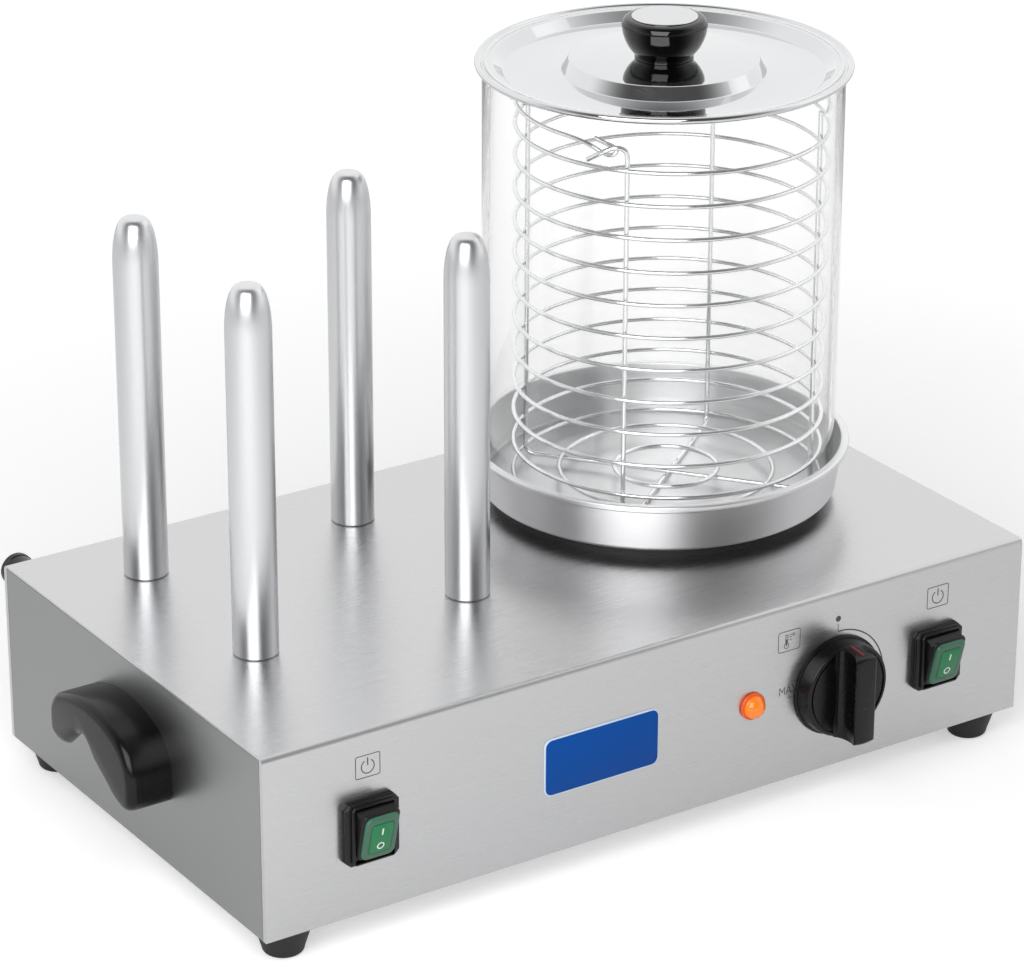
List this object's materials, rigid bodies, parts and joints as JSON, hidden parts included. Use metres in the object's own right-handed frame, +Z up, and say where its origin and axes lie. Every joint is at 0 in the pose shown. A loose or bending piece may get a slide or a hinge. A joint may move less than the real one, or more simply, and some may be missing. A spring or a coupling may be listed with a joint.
{
  "type": "hot dog toaster",
  "caption": "Counter-top snack toaster: upright heating spikes beside a lidded glass steaming cylinder with a wire basket, on a low sheet-steel housing.",
  "frame": {"origin": "On the counter under the middle of the machine's bounding box.", "axes": "+X along the front from the spikes' side to the glass cylinder's side, +Y from the control front to the rear, +Z up. The controls face -Y."},
  "size_m": [0.552, 0.328, 0.411],
  "materials": {
    "satin_steel": "satin",
    "black_rubber": "matte",
    "zinc_steel": "satin",
    "black_plastic": "gloss",
    "spike_aluminium": "polished",
    "heater_steel": "matte",
    "basin_aluminium": "satin",
    "silicone": "matte",
    "clear_glass": "clear",
    "chrome_wire": "polished",
    "mirror_steel": "mirror polished",
    "green_cap": "gloss, slightly clear",
    "amber_lens": "gloss, slightly clear",
    "blue_plate": "satin lacquer",
    "white_ceramic": "matte",
    "brass": "satin",
    "dark_plastic": "matte"
  },
  "bodies": {
    "housing": {"base_plate": "satin_steel", "top_cover": "satin_steel", "side_panel_left": "satin_steel", "side_panel_right": "satin_steel", "heater_clamp": "satin_steel", "foot_front_left": "black_rubber", "foot_front_right": "black_rubber", "foot_rear_left": "black_rubber", "foot_rear_right": "black_rubber", "foot_screws": "zinc_steel", "base_screws": "zinc_steel", "rear_screws": "zinc_steel", "handle_screws": "zinc_steel", "spike_nuts": "zinc_steel", "heater_nut": "zinc_steel", "handle_left": "black_plastic", "handle_right": "black_plastic", "switch_frame_left": "black_plastic", "switch_frame_right": "black_plastic", "spike_front_left": "spike_aluminium", "spike_front_right": "spike_aluminium", "spike_rear_left": "spike_aluminium", "spike_rear_right": "spike_aluminium", "spike_heater_front_left": "heater_steel", "spike_heater_front_right": "heater_steel", "spike_heater_rear_left": "heater_steel", "spike_heater_rear_right": "heater_steel", "hotplate": "heater_steel", "overheat_cutout": "heater_steel", "basin": "basin_aluminium", "spacer_ring": "silicone", "pilot_lamp_lens": "amber_lens", "badge_plate": "blue_plate", "terminal_block": "white_ceramic", "switch_terminals_left": "brass", "switch_terminals_right": "brass", "cable_gland": "dark_plastic", "gland_nut": "dark_plastic", "thermostat_body": "dark_plastic", "pilot_lamp_body": "dark_plastic"},
    "glass": {"glass_cylinder": "clear_glass"},
    "basket": {"basket_rings": "chrome_wire", "basket_wire_1": "chrome_wire", "basket_wire_2": "chrome_wire", "basket_floor": "chrome_wire"},
    "lid": {"lid": "mirror_steel", "lid_knob": "black_plastic", "lid_screw": "zinc_steel"},
    "thermostat_dial": {"thermostat_knob": "black_plastic", "thermostat_shaft": "zinc_steel"},
    "rocker_left": {"switch_rocker_left": "black_plastic", "switch_cap_left": "green_cap"},
    "rocker_right": {"switch_rocker_right": "black_plastic", "switch_cap_right": "green_cap"}
  },
  "joints": [
    {"name": "glass_lift", "type": "slide", "parent": "housing", "child": "glass", "axis": [0, 0, 1], "range_m": [0, 0.3]},
    {"name": "basket_lift", "type": "slide", "parent": "glass", "child": "basket", "axis": [0, 0, 1], "range_m": [0, 0.27]},
    {"name": "lid_lift", "type": "slide", "parent": "basket", "child": "lid", "axis": [0, 0, 1], "range_m": [0, 0.15]},
    {"name": "thermostat_turn", "type": "hinge", "parent": "housing", "child": "thermostat_dial", "pos_m": [0.1193, -0.137, 0.0675], "axis": [0, -1, 0], "range_deg": [-270, 0]},
    {"name": "rocker_left_press", "type": "hinge", "parent": "housing", "child": "rocker_left", "pos_m": [-0.1873, -0.139, 0.0675], "axis": [-1, 0, 0], "range_deg": [0, 20]},
    {"name": "rocker_right_press", "type": "hinge", "parent": "housing", "child": "rocker_right", "pos_m": [0.1885, -0.139, 0.0675], "axis": [-1, 0, 0], "range_deg": [0, 20]}
  ]
}
